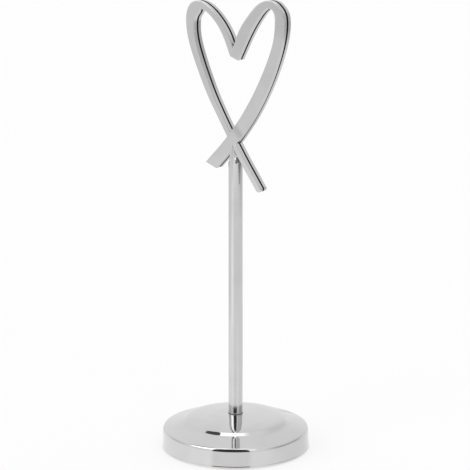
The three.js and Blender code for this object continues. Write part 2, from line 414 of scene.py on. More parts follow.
CHROME_BASE = chrome("chrome_base", mark_stretch=even(1.6))
CHROME_TUBE = chrome("chrome_tube", roughness=0.12, mark_roughness=0.05)
# Painted shade: the collar's chrome is much darker than the rest, for the shaded gap at the tube's
# foot.
SHADED_COLLAR_CHROME = chrome("chrome_collar_painted_shade", levels=(0.32, 0.27), roughness=0.15)
CHROME_HEART = chrome("chrome_heart", roughness=0.06, mark_stretch=(0.9, 0.9, 0.5))
# Painted shade: the faces inside the card gap are near black so that the gap looks dark.
PAINTED_SHADE_FACE = dull("painted_shade_inner_face", level=0.02, worn_level=0.045)
DULL_SLOT = dull("dull_slot", level=0.5, worn_level=0.65)
ZINC = Finish(
    "satin_zinc",
    Slot.ZINC,
    colours=(grey(0.56), grey(0.42)),
    roughness=0.28,
    layers=(
        Layer(Texture.CRYSTALS, even(1.6), 0.0, tone=0.6, relief=0.006 * MM),
        Layer(Texture.CLOUDS, even(0.6), 3.0, tone=0.4, roughness=0.18),
    ),
    tone_span=(0.1, 0.7),
)
BRASS = Finish(
    "turned_brass",
    Slot.BRASS,
    colours=((0.66, 0.47, 0.19, 1.0), (0.42, 0.27, 0.1, 1.0)),
    roughness=0.22,
    layers=(
        Layer(Texture.CLOUDS, even(0.3), 4.0, span=(0.35, 0.75), tone=1.0, roughness=0.15),
        Layer(Texture.RINGS, even(1.4), 2.0, roughness=0.08, relief=0.008 * MM),
    ),
)
CAST = Finish(
    "raw_casting",
    Slot.CAST,
    colours=(grey(0.03), grey(0.085)),
    roughness=0.55,
    layers=(
        Layer(Texture.CLOUDS, even(1.8), 5.0, tone=0.6, roughness=0.3, relief=0.12 * MM),
        Layer(Texture.CLOUDS, even(0.09), 2.0, tone=0.4),
    ),
    tone_span=(0.3, 0.65),
    metallic=0.6,
)
FELT = Finish(
    "pressed_felt",
    Slot.FELT,
    colours=((0.012, 0.012, 0.013, 1.0), (0.055, 0.055, 0.058, 1.0)),
    roughness=0.98,
    layers=(
        Layer(Texture.FIBRES, (7.0, 1.1, 4.0), 3.0, tone=0.7, relief=0.25 * MM),
        Layer(Texture.CLOUDS, even(0.25), 2.0, tone=0.3, roughness=-0.12),
    ),
    tone_span=(0.4, 0.72),
    metallic=0.0,
    sheen=(0.3, 0.6),
)


def to_object(name: str, mesh: bmesh.types.BMesh) -> bpy.types.Object:
    """Turns a built mesh into an object of the scene.

    Args:
        name: Name of the object and its mesh.
        mesh: The mesh, which is freed.

    Returns:
        The object, at the origin.
    """
    bmesh.ops.recalc_face_normals(mesh, faces=mesh.faces)
    data = bpy.data.meshes.new(name)
    mesh.to_mesh(data)
    mesh.free()
    made = bpy.data.objects.new(name, data)
    bpy.context.scene.collection.objects.link(made)
    return made


def lofted(name: str, rings: list[list[Vector]], closed: bool = False) -> bpy.types.Object:
    """Closed body through rings of points.

    Args:
        name: Name of the object.
        rings: Rings with the same number of points.
        closed: Whether the last ring runs on into the first. If not, both are capped.

    Returns:
        The object.
    """
    mesh = bmesh.new()
    loops = [[mesh.verts.new(point) for point in ring] for ring in rings]
    count = len(loops[0])
    for loop, following in zip(loops, loops[1:] + loops[:1] if closed else loops[1:]):
        for i in range(count):
            j = (i + 1) % count
            mesh.faces.new((loop[i], loop[j], following[j], following[i]))
    if not closed:
        mesh.faces.new(loops[0])
        mesh.faces.new(loops[-1][::-1])
    bmesh.ops.remove_doubles(mesh, verts=mesh.verts, dist=WELD)
    return to_object(name, mesh)


def settle(piece: bpy.types.Object) -> None:
    """Puts an object's modifiers into its mesh.

    Args:
        piece: The object with modifiers.
    """
    graph = bpy.context.evaluated_depsgraph_get()
    data = bpy.data.meshes.new_from_object(piece.evaluated_get(graph))
    before = piece.data
    piece.modifiers.clear()
    piece.data = data
    data.name = piece.name
    bpy.data.meshes.remove(before)


def combine(piece: bpy.types.Object, tool: bpy.types.Object, operation: str) -> None:
    """Joins a second body to a piece or cuts it out of the piece, and removes that body.

    Args:
        piece: The object that is changed.
        tool: The body that is used up.
        operation: Blender's name of the Boolean operation.
    """
    step = piece.modifiers.new("combine", "BOOLEAN")
    step.operation = operation
    step.solver = "EXACT"
    step.object = tool
    settle(piece)
    data = tool.data
    bpy.data.objects.remove(tool)
    bpy.data.meshes.remove(data)
    mesh = bmesh.new()
    mesh.from_mesh(piece.data)
    bmesh.ops.dissolve_degenerate(mesh, dist=WELD, edges=mesh.edges)
    mesh.to_mesh(piece.data)
    mesh.free()


def mount(piece: bpy.types.Object, crease: float, *nodes: str) -> None:
    """Shades a piece and lets it ride on the frame, in place of CAD nodes where it stands for any.

    Args:
        piece: The object.
        crease: Angle in degrees above which an edge stays sharp.
        nodes: Names of the nodes that it stands for.
    """
    piece.data.shade_smooth()
    piece.data.set_sharp_from_angle(angle=math.radians(crease))
    step = piece.modifiers.new("even_shading", "WEIGHTED_NORMAL")
    step.keep_sharp = True
    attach(piece, BODY)
    if nodes:
        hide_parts(*nodes)


def wear(piece: bpy.types.Object, *finishes: Finish) -> None:
    """Gives a piece its finishes.

    Args:
        piece: The object.
        finishes: Its finishes, in the order of its faces' material numbers.
    """
    numbers = [face.material_index for face in piece.data.polygons]
    piece.data.materials.clear()
    for finish in finishes:
        known = bpy.data.materials.get(finish.name)
        piece.data.materials.append(known or finish.material())
    if len(finishes) > 1:
        piece.data.polygons.foreach_set("material_index", numbers)
    worn = ", ".join(finish.name for finish in finishes)
    LOG.info("%s: %d faces, %s", piece.name, len(numbers), worn)


@dataclass(frozen=True)
class Corner:
    """Corner of a turned profile.

    Attributes:
        radius: Distance from the axis.
        height: Height.
        before: How far the rounding reaches back towards the corner before.
        after: How far it reaches on towards the corner after.
    """

    radius: float
    height: float
    before: float = 0.0
    after: float = 0.0


def softened(corners: list[Corner], steps: int) -> list[Vector]:
    """Profile through corners with their roundings drawn as short curves.

    Args:
        corners: Corners in order, of which the first and last stay sharp.
        steps: Number of short lines per rounding.

    Returns:
        Points of radius and height.
    """
    points = [Vector((corner.radius, corner.height)) for corner in corners]
    profile = [points[0]]
    for before, here, after, corner in zip(points, points[1:], points[2:], corners[1:]):
        start = here.lerp(before, min(corner.before / (before - here).length, 0.5))
        end = here.lerp(after, min(corner.after / (after - here).length, 0.5))
        for i in range(steps + 1):
            part = i / steps
            profile.append(start.lerp(here, part).lerp(here.lerp(end, part), part))
    profile.append(points[-1])
    return profile


def offset(profile: list[Vector], distance: float) -> list[Vector]:
    """Profile moved to the left of its run.

    Args:
        profile: Points of radius and height.
        distance: How far it moves.

    Returns:
        The moved points.
    """
    moved = []
    for i, point in enumerate(profile):
        before = profile[max(i - 1, 0)]
        after = profile[min(i + 1, len(profile) - 1)]
        run = (after - before).normalized()
        moved.append(point + Vector((-run.y, run.x)) * distance)
    return moved


def turned(name: str, profile: list[Vector], segments: int) -> bpy.types.Object:
    """Body of revolution about Z.

    Args:
        name: Name of the object.
        profile: Closed profile of radius and height.
        segments: Number of steps round the axis.

    Returns:
        The object.
    """
    rings = []
    for k in range(segments):
        turn = 2 * math.pi * k / segments
        across = Vector((math.cos(turn), math.sin(turn), 0))
        rings.append([across * point.x + Vector((0, 0, point.y)) for point in profile])
    return lofted(name, rings, closed=True)


@dataclass
class Base:
    """Weighted base: the pressed cover, the weight and fasteners inside it, and the felt under it.

    Attributes:
        crown_radius: Radius of the flat crown.
        dome_run: Width of the dome round the crown.
        step_run: Width of the soft step below the dome.
        shelf_width: Width of the sloping shelf.
        rim_height: Height of the rim's upper corner.
        shelf_rise: Rise of the shelf.
        step_rise: Rise of the step.
        dome_rise: Rise of the dome.
        rim_draft: How much wider the rim is at its foot.
        lip_bead: How far the lip stands out from the rim.
        lip_height: Height of the lip's face, and of the slope above it.
        lip_rounding: Reach of the lip's roundings.
        rim_rounding: Reach of the shoulder's rounding along the rim and the shelf.
        step_rounding: Reach of the rounding at the step's foot, along the shelf and the step.
        ridge_rounding: Reach of the dome's edge along the step and the dome.
        crown_rounding: Reach of the rounding between the dome and the crown.
        wall: Thickness of the sheet.
        hole_radius: Radius of the screw hole.
        felt_edge: Softness of the felt's edge.
        felt_unevenness: Height of the felt's slow waves.
        felt_wave: Length of those waves.
        turns: Steps round the axis.
        rounding_steps: Steps along a rounding.
        felt_rings: Rings across the felt.
        cover_crease: Angle above which the cover's edges stay sharp.
        felt_crease: The same angle for the felt.
        cover: The pressed cover.
        felt: The felt.
    """

    crown_radius: float = 6.5 * MM
    dome_run: float = 14.45 * MM
    step_run: float = 3.0 * MM
    shelf_width: float = 8.8 * MM
    rim_height: float = 9.2 * MM
    shelf_rise: float = 2.75 * MM
    step_rise: float = 2.3 * MM
    dome_rise: float = 1.3 * MM
    rim_draft: float = 0.5 * MM
    lip_bead: float = 0.1 * MM
    lip_height: float = 0.33 * MM
    lip_rounding: float = 0.15 * MM
    rim_rounding: Pair = (2.4 * MM, 0.8 * MM)
    step_rounding: Pair = (2.0 * MM, 0.6 * MM)
    ridge_rounding: Pair = (1.85 * MM, 7.0 * MM)
    crown_rounding: Pair = (4.8 * MM, 2.4 * MM)
    wall: float = 0.8 * MM
    hole_radius: float = 1.7 * MM
    felt_edge: float = 0.35 * MM
    felt_unevenness: float = 0.05 * MM
    felt_wave: float = 4.0 * MM
    turns: int = 192
    rounding_steps: int = 16
    felt_rings: int = 28
    cover_crease: float = 40.0
    felt_crease: float = 60.0
    cover: bpy.types.Object = field(init=False)
    felt: bpy.types.Object = field(init=False)

    def face(self) -> list[Vector]:
        """Outer face of the cover, from its lip up to the hole in the dome.

        Returns:
            Points of radius and height.
        """
        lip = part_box("base_shell")[0].z + self.wall / 2
        ridge_radius = self.crown_radius + self.dome_run
        foot_radius = ridge_radius + self.step_run
        rim_radius = foot_radius + self.shelf_width
        lip_radius = rim_radius + self.rim_draft + self.lip_bead
        foot_height = self.rim_height + self.shelf_rise
        ridge_height = foot_height + self.step_rise
        top = ridge_height + self.dome_rise
        soft = self.lip_rounding
        corners = [
            Corner(lip_radius, lip),
            Corner(lip_radius, lip + self.lip_height, soft, soft),
            Corner(rim_radius + self.rim_draft, lip + 2 * self.lip_height, soft, soft),
            Corner(rim_radius, self.rim_height, *self.rim_rounding),
            Corner(foot_radius, foot_height, *self.step_rounding),
            Corner(ridge_radius, ridge_height, *self.ridge_rounding),
            Corner(self.crown_radius, top, *self.crown_rounding),
            Corner(self.hole_radius, top),
        ]
        return softened(corners, self.rounding_steps)

    def build(self) -> None:
        """Makes the cover and the felt."""
        face = self.face()
        inside = offset(face, self.wall)
        inside[-1].x = self.hole_radius
        middle = (face[0] + inside[0]) / 2
        arm = inside[0] - middle
        side = Vector((-arm.y, arm.x))
        turns = [math.pi * i / self.rounding_steps for i in range(1, self.rounding_steps)]
        lip = [middle + arm * math.cos(turn) + side * math.sin(turn) for turn in turns]
        self.cover = turned("base_cover", face + inside[::-1] + lip, self.turns)
        mount(self.cover, self.cover_crease, "base_shell")
        self.felt = self.felt_disc()
        mount(self.felt, self.felt_crease, "base_pad")

    def felt_disc(self) -> bpy.types.Object:
        """Felt with a soft edge and slow waves in its faces.

        Returns:
            The object.
        """
        low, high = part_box("base_pad")
        corners = [
            Corner(high.x / 2, low.z),
            Corner(high.x, low.z, self.felt_edge, self.felt_edge),
            Corner(high.x, high.z, self.felt_edge, self.felt_edge),
            Corner(high.x / 2, high.z),
        ]
        rim = softened(corners, self.rounding_steps)[1:-1]
        reaches = [rim[0].x * i / self.felt_rings for i in range(self.felt_rings)]
        under = [Vector((reach, low.z)) for reach in reaches]
        above = [Vector((reach, high.z)) for reach in reversed(reaches)]
        felt = turned("felt_pad", under + rim + above, self.turns // 2)
        middle = (low.z + high.z) / 2
        for vertex in felt.data.vertices:
            wave = self.felt_unevenness * (noise.noise(vertex.co / self.felt_wave) + 1) / 2
            vertex.co.z += wave if vertex.co.z < middle else -wave
        return felt

    def dress(self) -> None:
        """Gives the cover, the felt and the parts inside their finishes."""
        wear(self.cover, CHROME_BASE)
        wear(self.felt, FELT)
        wear(frame["nodes"]["ballast_disc"], CAST)
        for name in ("base_screw", "flat_washer", "spring_washer"):
            wear(frame["nodes"][name], ZINC)


@dataclass
class Stem:
    """Tube with a slotted end, its tapped plug and the thin collar at its foot.

    Attributes:
        wall: Thickness of the tube's wall.
        solder_depth: Depth of the solder that closes the bore under the slot.
        taper: How much the slotted end narrows.
        taper_length: Length of the narrowing end.
        slot_half_width: Half of the slot's width.
        slot_floor: Height of the slot's floor.
        slot_corner: Softness of the slot's inner corners.
        cutter_reach: Half length of the slot's cutter, for a tube radius of 1.
        edge: Softness of the cut edges.
        edge_steps: Strips across a soft edge.
        edge_angle: Angle above which an edge is softened.
        hole_radius: Radius of the collar's hole.
        turns: Steps round the axis.
        tube_steps: Steps along the tube.
        round_steps: Steps along a quarter of a rounding.
        inner_facing: How far a face looks outwards, below which it is dull.
        crease: Angle above which an edge stays sharp.
        tube: The slotted tube.
        collar: The collar.
    """

    wall: float = 0.65 * MM
    solder_depth: float = 1.5 * MM
    taper: float = 0.62 * MM
    taper_length: float = 9.0 * MM
    slot_half_width: float = 2.57 * MM
    slot_floor: float = 130.38 * MM
    slot_corner: float = 0.5 * MM
    cutter_reach: float = 1.5
    edge: float = 0.09 * MM
    edge_steps: int = 3
    edge_angle: float = 40.0
    hole_radius: float = 1.7 * MM
    turns: int = 128
    tube_steps: int = 8
    round_steps: int = 6
    inner_facing: float = 0.3
    crease: float = 50.0
    tube: bpy.types.Object = field(init=False)
    collar: bpy.types.Object = field(init=False)

    def build(self) -> None:
        """Makes the tube and the collar."""
        low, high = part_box("stem_tube")
        bore = high.x - self.wall
        bore_end = self.slot_floor - self.solder_depth
        taper_start = high.z - self.taper_length
        run = [i / self.tube_steps for i in range(self.tube_steps + 1)]
        outside = [Vector((high.x, low.z + (taper_start - low.z) * part)) for part in run]
        tip = [
            Vector((high.x - self.taper, high.z)),
            Vector((0.0, high.z)),
            Vector((0.0, bore_end)),
        ]
        inside = [Vector((bore, low.z + (bore_end - low.z) * part)) for part in reversed(run)]
        self.tube = turned("stem", outside + tip + inside, self.turns)
        combine(self.tube, self.slot_cutter(high), "DIFFERENCE")
        soften = self.tube.modifiers.new("soft_edges", "BEVEL")
        soften.width = self.edge
        soften.segments = self.edge_steps
        soften.limit_method = "ANGLE"
        soften.angle_limit = math.radians(self.edge_angle)
        settle(self.tube)
        for face in self.tube.data.polygons:
            outwards = face.normal.xy.dot(face.center.xy.normalized())
            face.material_index = 1 if outwards < self.inner_facing else 0
        mount(self.tube, self.crease, "stem_tube")
        self.collar = self.collar_ring()
        mount(self.collar, self.crease, "stem_collar")

    def slot_cutter(self, high: Vector) -> bpy.types.Object:
        """Body that cuts the slot, with soft lower corners.

        Args:
            high: Highest corner of the tube.

        Returns:
            The object.
        """
        reach = high.x * self.cutter_reach
        middle = self.slot_half_width - self.slot_corner
        half = [Vector((self.slot_half_width, high.z + self.taper_length))]
        for i in range(self.round_steps + 1):
            turn = math.pi / 2 * i / self.round_steps
            y = middle + self.slot_corner * math.cos(turn)
            half.append(Vector((y, self.slot_floor + self.slot_corner * (1 - math.sin(turn)))))
        outline = [Vector((-point.x, point.y)) for point in half] + half[::-1]
        ends = [[Vector((x, point.x, point.y)) for point in outline] for x in (-reach, reach)]
        return lofted("slot_cutter", ends)

    def collar_ring(self) -> bpy.types.Object:
        """Thin ring with a rounded outer edge.

        Returns:
            The object.
        """
        low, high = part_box("stem_collar")
        half = (high.z - low.z) / 2
        profile = []
        for i in range(self.round_steps * 2 + 1):
            turn = math.pi / 2 * (i / self.round_steps - 1)
            reach = high.x - half + half * math.cos(turn)
            profile.append(Vector((reach, low.z + half + half * math.sin(turn))))
        profile += [Vector((self.hole_radius, high.z)), Vector((self.hole_radius, low.z))]
        return turned("stem_ring", profile, self.turns)

    def dress(self) -> None:
        """Gives the tube, the collar and the plug their finishes."""
        wear(self.tube, CHROME_TUBE, DULL_SLOT)
        wear(self.collar, SHADED_COLLAR_CHROME)
        wear(frame["nodes"]["stem_plug"], BRASS)


@dataclass(frozen=True)
class Section:
    """Cross-section of a pen stroke in the heart's own plane.

    Attributes:
        centre: Point on the middle line.
        along: Direction of the stroke.
        across: From the middle line to the left edge.
    """

    centre: Vector
    along: Vector
    across: Vector

    def half_width(self) -> float:
        """Half of the stroke's width, measured square to it."""
        return abs(self.along.cross(self.across))


@dataclass(frozen=True)
class PenStroke:
    """One stroke of the heart, as the pen drew it.

    Attributes:
        stations: Points of x, z and width in millimetres from the crossing, from notch to leg.
        tail: How the lower end is finished.
        nib_degrees: Angle of the nib, along which ends are cut.
        steps: Sections between two stations.
        turn_in: Length over which sections turn to the nib before an end.
    """

    stations: tuple[Triple, ...]
    tail: StrokeEnd
    nib_degrees: float = -22.0
    steps: int = 14
    turn_in: float = 4.5 * MM

    def at(self, place: float) -> tuple[Vector, Vector]:
        """Point and slope of the smooth line through the stations.

        Args:
            place: Position along the stroke, in stations.

        Returns:
            The point (x, z, width) and its rate of change, in metres.
        """
        points = [Vector(station) * MM for station in self.stations]
        points.insert(0, points[0] * 2 - points[1])
        points.append(points[-1] * 2 - points[-2])
        index = min(int(place), len(self.stations) - 2)
        t = place - index
        p0, p1, p2, p3 = points[index : index + 4]
        m1 = (p2 - p0) / 2
        m2 = (p3 - p1) / 2
        square = (p2 - p1) * 3 - m1 * 2 - m2
        cube = (p1 - p2) * 2 + m1 + m2
        point = p1 + m1 * t + square * t**2 + cube * t**3
        return point, m1 + square * (2 * t) + cube * (3 * t**2)

    def sections(self) -> list[Section]:
        """Sections along the stroke, whose ends lie along the nib where they are cut.

        Returns:
            The sections from the notch to the leg.
        """
        last = len(self.stations) - 1
        samples = [self.at(i / self.steps) for i in range(last * self.steps + 1)]
        lengths = [0.0]
        for (before, _), (here, _) in zip(samples, samples[1:]):
            lengths.append(lengths[-1] + (here - before).xy.length)
        tilt = math.radians(self.nib_degrees)
        nib = Vector((math.cos(tilt), math.sin(tilt)))
        made = []
        for (point, slope), length in zip(samples, lengths):
            along = slope.xy.normalized()
            square = Vector((-along.y, along.x))
            lean = nib if nib.dot(square) > 0 else -nib
            near_start = max(0.0, 1 - length / self.turn_in)
            near_end = max(0.0, 1 - (lengths[-1] - length) / self.turn_in)
            if self.tail is StrokeEnd.ROUND:
                near_end = 0.0
            across = square.lerp(lean / lean.dot(square), max(near_start, near_end))
            made.append(Section(point.xy, along, across * (point.z / 2)))
        return made


LIGHT_STROKE = PenStroke(
    (
        (0.65, 36.0, 2.95),
        (-4.1, 46.6, 2.95),
        (-10.1, 53.95, 2.65),
        (-16.3, 57.6, 3.15),
        (-20.3, 56.1, 5.6),
        (-22.4, 50.4, 4.5),
        (-20.8, 40.0, 3.6),
        (-13.8, 23.1, 3.1),
        (-6.7, 10.2, 2.65),
        (3.5, -6.0, 2.55),
        (13.6, -20.4, 2.4),
    ),
    StrokeEnd.ROUND,
)
BROAD_STROKE = PenStroke(
    (
        (0.85, 35.85, 4.4),
        (5.8, 46.6, 5.4),
        (9.9, 52.9, 5.0),
        (14.3, 58.0, 4.3),
        (18.3, 60.1, 3.4),
        (22.0, 58.9, 3.5),
        (24.35, 53.8, 4.8),
        (23.0, 42.4, 4.8),
        (16.75, 26.6, 5.55),
        (8.25, 11.5, 5.8),
        (-1.7, -1.6, 5.6),
        (-11.5, -12.2, 5.7),
    ),
    StrokeEnd.NIB_CUT,
)


@dataclass(frozen=True)
class Ramp:
    """Even change from 0 to 1 between two lengths.

    Attributes:
        start: Length up to which it is 0.
        end: Length from which it is 1.
    """

    start: float
    end: float

    def at(self, length: float) -> float:
        """Value of the ramp at a length."""
        return min(max((length - self.start) / (self.end - self.start), 0.0), 1.0)

    def soft(self, length: float) -> float:
        """Value at a length, with soft ends."""
        return self.at(length) ** 2 * (3 - 2 * self.at(length))


@dataclass
class HeartPair:
    """Two dished heart plates with the card gap between them, and the solder that holds them.

    Attributes:
        thickness: Thickness of a plate.
        card_gap: Gap at the crossing.
        dish_opening: How much the gap opens towards the dish's rim.
        dish_reach_x: Half width at which the dish has opened by that much.
        dish_reach_z: Height at which it has.
        grip_gap: Gap where the plates close on the card, along the broad stroke's limb.
        grip_slope: Slope of that limb, as x for each z.
        grip_side: Distances from the sloping line at which the grip starts and is full.
        grip_foot: Values of x + z at which the grip starts and is full.
        grip_fade: Values of x + z at which it starts to fade and has faded.
        edge: Radius that polishing leaves on the outer edges.
        inner_edge: Radius of the edges along the card gap.
        edge_limit: Largest radius of an edge, for a half width of 1.
        sink: How far the light stroke lies below the broad one's faces.
        face_steps: Strips across a face.
        edge_steps: Strips across an edge's rounding.
        tail_steps: Sections along a rounded end.
        inner_facing: How far a face looks away from the gap, below which it gets the near-black
            painted shade.
        crease: Angle above which a plate's edges stay sharp.
        solder_corners: Corners of x and z in millimetres round the solder in the fork of the legs.
        solder_cuts: How often those corners are cut to round them.
        solder_fullness: How soon the solder narrows towards its front and rear, less being later.
        solder_steps: Steps of the solder from front to rear.
        solder_crease: Angle above which the solder's edges stay sharp.
        plates: The front and the rear plate.
        solder: The solder in the fork.
    """

    thickness: float = 1.95 * MM
    card_gap: float = 1.1 * MM
    dish_opening: float = 0.1 * MM
    dish_reach_x: float = 23.0 * MM
    dish_reach_z: float = 57.0 * MM
    grip_gap: float = 0.58 * MM
    grip_slope: float = 0.63
    grip_side: Ramp = Ramp(-10.0 * MM, -2.0 * MM)
    grip_foot: Ramp = Ramp(3.0 * MM, 10.0 * MM)
    grip_fade: Ramp = Ramp(24.0 * MM, 72.0 * MM)
    edge: float = 0.13 * MM
    inner_edge: float = 0.06 * MM
    edge_limit: float = 0.9
    sink: float = 0.004 * MM
    face_steps: int = 6
    edge_steps: int = 4
    tail_steps: int = 12
    inner_facing: float = -0.8
    crease: float = 35.0
    solder_corners: tuple[Pair, ...] = ((0.26, -3.0), (-2.2, -6.6), (0.9, -7.9), (3.6, -7.4))
    solder_cuts: int = 3
    solder_fullness: float = 0.3
    solder_steps: int = 24
    solder_crease: float = 40.0
    plates: list[bpy.types.Object] = field(default_factory=list)
    solder: bpy.types.Object = field(init=False)

    def crossing(self) -> float:
        """Height of the point where the strokes cross."""
        low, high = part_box("plate_spacer")
        return (low.z + high.z) / 2

    def gap(self, x: float, z: float) -> float:
        """Gap between the plates.

        Args:
            x: Distance to the right of the crossing.
            z: Height above the crossing.

        Returns:
            The gap there.
        """
        opening = (x / self.dish_reach_x) ** 2 + (z / self.dish_reach_z) ** 2
        open_gap = self.card_gap + self.dish_opening * opening
        grip = self.grip_side.soft(x - self.grip_slope * z) * self.grip_foot.soft(x + z)
        grip *= 1 - self.grip_fade.at(x + z) ** 2
        return open_gap + (self.grip_gap - open_gap) * grip

    def outline(self, half: float, inset: float, sink: float) -> list[Pair]:
        """Rounded section of a stroke, as distance across and depth.

        Args:
            half: Half of the stroke's width.
            inset: Share of its roundings by which the section is smaller, near a cut end.
            sink: How far both faces are moved in.

        Returns:
            Points round the section, always the same number.
        """
        outer = min(self.edge, half * self.edge_limit)
        inner = min(self.inner_edge, half * self.edge_limit)
        corners = (
            (half - outer, self.thickness - sink - outer, outer),
            (outer - half, self.thickness - sink - outer, outer),
            (inner - half, sink + inner, inner),
            (half - inner, sink + inner, inner),
        )
        points = []
        for quarter, (x, y, reach) in enumerate(corners):
            radius = max(reach * (1 - inset), WELD / 10)
            for i in range(self.edge_steps + 1):
                turn = math.pi / 2 * (quarter + i / self.edge_steps)
                points.append((x + radius * math.cos(turn), y + radius * math.sin(turn)))
            if quarter % 2 == 0:
                face = y + radius if quarter == 0 else y - radius
                parts = [1 - 2 * i / self.face_steps for i in range(1, self.face_steps)]
                points += [(x * part, face) for part in parts]
        return points

    def ring(
        self, section: Section, half: float, sink: float, shift: float = 0.0, inset: float = 0.0
    ) -> list[Vector]:
        """Points round one section of a stroke.

        Args:
            section: The section.
            half: Half of the stroke's width there.
            sink: How far both faces are moved in.
            shift: How far the section is moved along the stroke.
            inset: Share of its roundings by which it is smaller, near a cut end.

        Returns:
            Points of x, z and depth.
        """
        centre = section.centre + section.along * shift
        across = section.across / section.half_width()
        return [Vector((*(centre + across * u), v)) for u, v in self.outline(half, inset, sink)]

    def rings(self, stroke: PenStroke, sink: float) -> list[list[Vector]]:
        """Rings of points along one stroke from end to end, its ends rounded.

        Args:
            stroke: The stroke.
            sink: How far both faces are moved in.

        Returns:
            Points of x, z and depth for each section.
        """
        sections = stroke.sections()
        first, last = sections[0], sections[-1]
        turns = [math.pi / 2 * i / self.edge_steps for i in range(self.edge_steps)]
        made = []
        for turn in turns:
            shift = self.edge * (1 - math.cos(turn))
            made.append(self.ring(first, first.half_width(), sink, shift, 1 - math.sin(turn)))
        inner = [s for s in sections if (s.centre - first.centre).length > self.edge]
        if stroke.tail is StrokeEnd.NIB_CUT:
            inner = [s for s in inner if (s.centre - last.centre).length > self.edge]
        made += [self.ring(section, section.half_width(), sink) for section in inner]
        half = last.half_width()
        if stroke.tail is StrokeEnd.ROUND:
            for i in range(1, self.tail_steps):
                turn = math.pi / 2 * i / self.tail_steps
                made.append(self.ring(last, half * math.cos(turn), sink, half * math.sin(turn)))
        else:
            for turn in reversed(turns):
                shift = self.edge * (math.cos(turn) - 1)
                made.append(self.ring(last, half, sink, shift, 1 - math.sin(turn)))
        return made

    def stroke_body(self, name: str, stroke: PenStroke, side: int, sink: float) -> bpy.types.Object:
        """Closed body of one stroke of one plate.

        Args:
            name: Name of the object.
            stroke: The stroke.
            side: -1 for the front plate and 1 for the rear one.
            sink: How far both faces are moved in.

        Returns:
            The object.
        """
        crossing = self.crossing()
        rings = [
            [Vector((x, side * (self.gap(x, z) / 2 + depth), z + crossing)) for x, z, depth in ring]
            for ring in self.rings(stroke, sink)
        ]
        return lofted(name, rings)

    def solder_bead(self) -> bpy.types.Object:
        """Solder that fills the fork of the legs inside the slot, round at its front and rear.

        Returns:
            The object.
        """
        outline = [Vector(corner) * MM for corner in self.solder_corners]
        for _ in range(self.solder_cuts):
            sides = list(zip(outline, outline[1:] + outline[:1]))
            outline = [here.lerp(after, part) for here, after in sides for part in (0.25, 0.75)]
        middle = sum(outline, Vector((0.0, 0.0))) / len(outline)
        reach = self.card_gap / 2 + self.thickness
        crossing = self.crossing()
        rings = []
        for i in range(1, self.solder_steps):
            turn = math.pi * (i / self.solder_steps - 0.5)
            size = math.cos(turn) ** self.solder_fullness
            points = [middle.lerp(point, size) for point in outline]
            rings.append([Vector((p.x, reach * math.sin(turn), p.y + crossing)) for p in points])
        return lofted("solder_bead", rings)

    def build(self) -> None:
        """Makes both plates, each joined from its two strokes, and the solder between them."""
        for name, side, node in (
            ("heart_front", -1, "heart_front_plate"),
            ("heart_rear", 1, "heart_rear_plate"),
        ):
            plate = self.stroke_body(name, BROAD_STROKE, side, 0.0)
            light = self.stroke_body("light_stroke", LIGHT_STROKE, side, self.sink)
            combine(plate, light, "UNION")
            # Faces that look into the card gap get painted shade: a near-black finish.
            for face in plate.data.polygons:
                face.material_index = 1 if face.normal.y * side < self.inner_facing else 0
            mount(plate, self.crease, node)
            self.plates.append(plate)
        self.solder = self.solder_bead()
        mount(self.solder, self.solder_crease)

    def dress(self) -> None:
        """Gives the plates, the solder and the spacer their finishes."""
        for plate in self.plates:
            wear(plate, CHROME_HEART, PAINTED_SHADE_FACE)
        wear(self.solder, CHROME_HEART)
        wear(frame["nodes"]["plate_spacer"], ZINC)


@dataclass(frozen=True)
class Patch:
    """Brighter or darker patch of the studio, as polished metal sees it.

    Attributes:
        left: Left edge.
        right: Right edge.
        low: Lower or nearer edge.
        high: Upper or farther edge.
        level: Brightness, where 1 is white.
        side_softness: Width of the soft left and right edges.
        end_softness: Width of the soft lower and upper edges.
        shape: Whether it is a plain window or an arch.
    """

    left: float
    right: float
    low: float
    high: float
    level: float
    side_softness: float
    end_softness: float
    shape: PatchShape = PatchShape.WINDOW

    def over(self, level: Operand, across: Field, along: Field) -> Field:
        """Lays the patch over what is behind it.

        Args:
            level: Brightness behind the patch.
            across: Place from left to right.
            along: Place from its lower to its upper edge.

        Returns:
            The brightness with the patch.
        """
        if self.shape is PatchShape.WINDOW:
            mask = across.band(self.left, self.right, self.side_softness)
            mask = mask * along.band(self.low, self.high, self.end_softness)
        else:
            side = (across - (self.left + self.right) / 2) / ((self.right - self.left) / 2)
            rise = (along - self.low) / (self.high - self.low)
            soft = self.side_softness / (self.right - self.left)
            mask = 1 - (side * side + rise * rise).smooth(1 - soft, 1 + soft)
            mask = mask * rise.smooth(0.0, self.end_softness / (self.high - self.low))
        return level + (self.level - level) * mask


